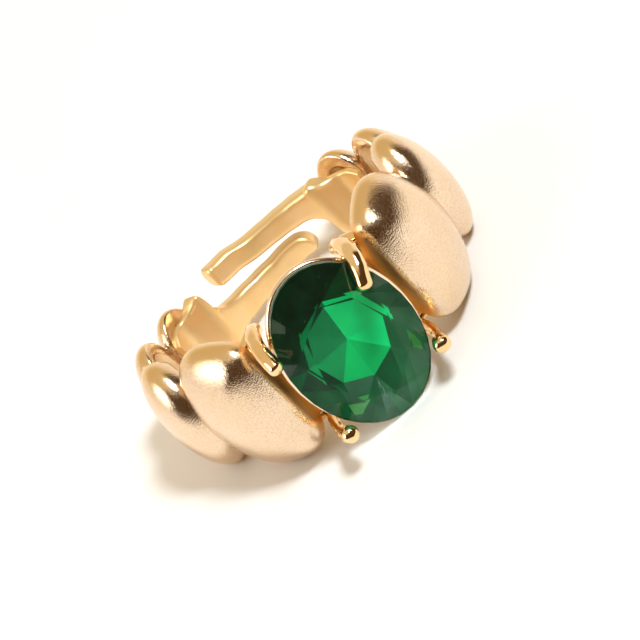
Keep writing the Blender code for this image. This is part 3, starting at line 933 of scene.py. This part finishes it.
def build_bridge():
    """The curved strap under the stone, with a window for the stone's point."""
    angles = np.linspace(180 - BRIDGE_END_ANGLE, 180 + BRIDGE_END_ANGLE, BRIDGE_SECTIONS)
    strap = loft("bridge_strap", [bridge_section(a) for a in angles], POLISHED, sharp=60.0)
    width, height = CULET_WINDOW
    turns = [2 * math.pi * k / WINDOW_STEPS for k in range(WINDOW_STEPS)]
    window = loft("window", [[Vector((width * math.cos(turn), y, height * math.sin(turn)))
                              for turn in turns] for y in WINDOW_CUT], POLISHED)
    cut_away(strap, window)
    for side in SIDES.values():
        cut_away(strap, plain_ellipsoid("trim", PEBBLES[0], side))
    strap.data.set_sharp_from_angle(angle=math.radians(50.0))
    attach(strap, "head")
    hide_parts("bridge")


build_pebbles()
build_shank()
build_stone()
build_prongs()
for rail_name, settings in RAILS.items():
    rail(rail_name, *settings)
build_bridge()


# ---------------------------------------------------------------- floor, light and camera

CAMERA_RISE = math.radians(25.3)
CAMERA_ROLL = math.radians(44.9)
CAMERA_DISTANCE = 350.0
CAMERA_SHIFT = (1.266, -1.848)
SENSOR = 36.0
LENS = 270.6
FLOOR_POINT = (0.0, -11.0, -7.2)
FLOOR_TILT = math.radians(11.4)
FLOOR_NORMAL = (0.0, -math.sin(FLOOR_TILT), math.cos(FLOOR_TILT))
FLOOR_SIZE = 900.0              # half its width
FLOOR_COLOURS = ((0.3, (0.90, 0.885, 0.87)), (0.7, (0.92, 0.905, 0.89)))
DARK_ROOM = (0.09, 0.05, 0.02)
BRIGHT_ROOM = (1.12, 0.99, 0.85)
CEILING = (0.80, 0.66, 0.46)
DARK_SIDE = (0.3, -0.93, -0.2)  # where the dark room is darkest
# Share of a direction between which the dark room comes in, ends upwards, and the ceiling comes in
DARK_RANGE = (-0.28, 0.05)
DARK_TOP = (0.72, 0.88)
CEILING_RANGE = (0.12, 0.5)
LAMP_DISTANCE = 600.0
# Lamps: direction from the ring, sizes, power in watts, colour, line that the long side follows
LAMPS = {
    "key": ((0.42, -0.46, 0.78), (130.0, 130.0), 2.75, (0.88, 0.96, 1.0), (1, 0, 0)),
    "streak": ((0.56, -0.38, 0.74), (330.0, 70.0), 0.4, (1, 1, 1), (0.55, -0.53, -0.65)),
    "side": ((-0.85, -0.13, 0.50), (420.0, 420.0), 1.1, (1, 1, 1), (1, 0, 0)),
}


def put_in_scene(made, right, up, back, place):
    """Link a lamp or a camera that looks away from its back."""
    bpy.context.scene.collection.objects.link(made)
    matrix = Matrix((right, up, back)).transposed().to_4x4()
    matrix.translation = place * MM
    made.matrix_world = matrix


def build_floor():
    """A broad pale sheet under the ring, which leans on its stone and its domes."""
    look, tree, shader, place = new_material("pale_floor")
    speck = noise_node(tree, place, 60.0, 2.0)
    tree.links.new(ramp(tree, speck, FLOOR_COLOURS), shader.inputs["Base Color"])
    shader.inputs["Roughness"].default_value = 0.7
    shader.inputs["Specular IOR Level"].default_value = 0.2
    across = Vector((1, 0, 0))
    back = Vector((0, math.cos(FLOOR_TILT), math.sin(FLOOR_TILT)))
    points = [Vector(FLOOR_POINT) + (across * x + back * y) * FLOOR_SIZE
              for x, y in ((-1, -1), (1, -1), (1, 1), (-1, 1))]
    floor = add_object("floor", points, [(0, 1, 2, 3)], look, smooth=False)


def area_light(name, direction, sizes, power, colour, along_line):
    """A soft oval lamp that looks at the ring, its long side along a line."""
    lamp = bpy.data.lights.new(name, "AREA")
    lamp.shape = "ELLIPSE"
    lamp.size = sizes[0] * MM
    lamp.size_y = sizes[1] * MM
    lamp.energy = power
    lamp.color = colour
    away = Vector(direction).normalized()
    side = Vector(along_line)
    side = (side - away * side.dot(away)).normalized()
    put_in_scene(bpy.data.objects.new(name, lamp), side, away.cross(side), away,
                 away * LAMP_DISTANCE)


def build_world():
    """A bright warm studio with a duller ceiling, and a dark room in front and to the right."""
    world = bpy.data.worlds.new("room")
    bpy.context.scene.world = world
    world.use_nodes = True
    tree = world.node_tree
    background = tree.nodes["Background"]
    place = tree.nodes.new("ShaderNodeTexCoord").outputs["Generated"]

    def facing(direction):
        dot = tree.nodes.new("ShaderNodeVectorMath")
        dot.operation = "DOT_PRODUCT"
        dot.inputs[1].default_value = Vector(direction).normalized()
        tree.links.new(place, dot.inputs[0])
        return dot.outputs["Value"]

    front = mapped(tree, facing(DARK_SIDE), 0.0, 1.0, *DARK_RANGE)
    height = facing(FLOOR_NORMAL)
    low = mapped(tree, height, 1.0, 0.0, *DARK_TOP)
    climb = mapped(tree, height, 0.0, 1.0, *CEILING_RANGE)
    both = tree.nodes.new("ShaderNodeMath")
    both.operation = "MULTIPLY"
    tree.links.new(front, both.inputs[0])
    tree.links.new(low, both.inputs[1])
    wall = ramp(tree, climb, ((0.0, BRIGHT_ROOM), (1.0, CEILING)))
    tree.links.new(blended(tree, both.outputs["Value"], wall, DARK_ROOM),
                   background.inputs["Color"])
    background.inputs["Strength"].default_value = 1.0


def build_camera():
    """The camera looks down on the stone from the front, rolled to one side."""
    forward = Vector((0, math.cos(CAMERA_RISE), -math.sin(CAMERA_RISE)))
    level_up = Vector((0, math.sin(CAMERA_RISE), math.cos(CAMERA_RISE)))
    level_right = Vector((1, 0, 0))
    right = math.cos(CAMERA_ROLL) * level_right - math.sin(CAMERA_ROLL) * level_up
    up = math.sin(CAMERA_ROLL) * level_right + math.cos(CAMERA_ROLL) * level_up
    place = -forward * CAMERA_DISTANCE + right * CAMERA_SHIFT[0] + up * CAMERA_SHIFT[1]
    lens = bpy.data.cameras.new("camera")
    lens.sensor_width = SENSOR
    lens.lens = LENS
    lens.clip_start = 0.001
    lens.clip_end = 10.0
    made = bpy.data.objects.new("camera", lens)
    put_in_scene(made, right, up, -forward, place)
    bpy.context.scene.camera = made


build_floor()
build_world()
for lamp_name, settings in LAMPS.items():
    area_light(lamp_name, *settings)
build_camera()
bpy.context.scene.view_settings.view_transform = "Standard"
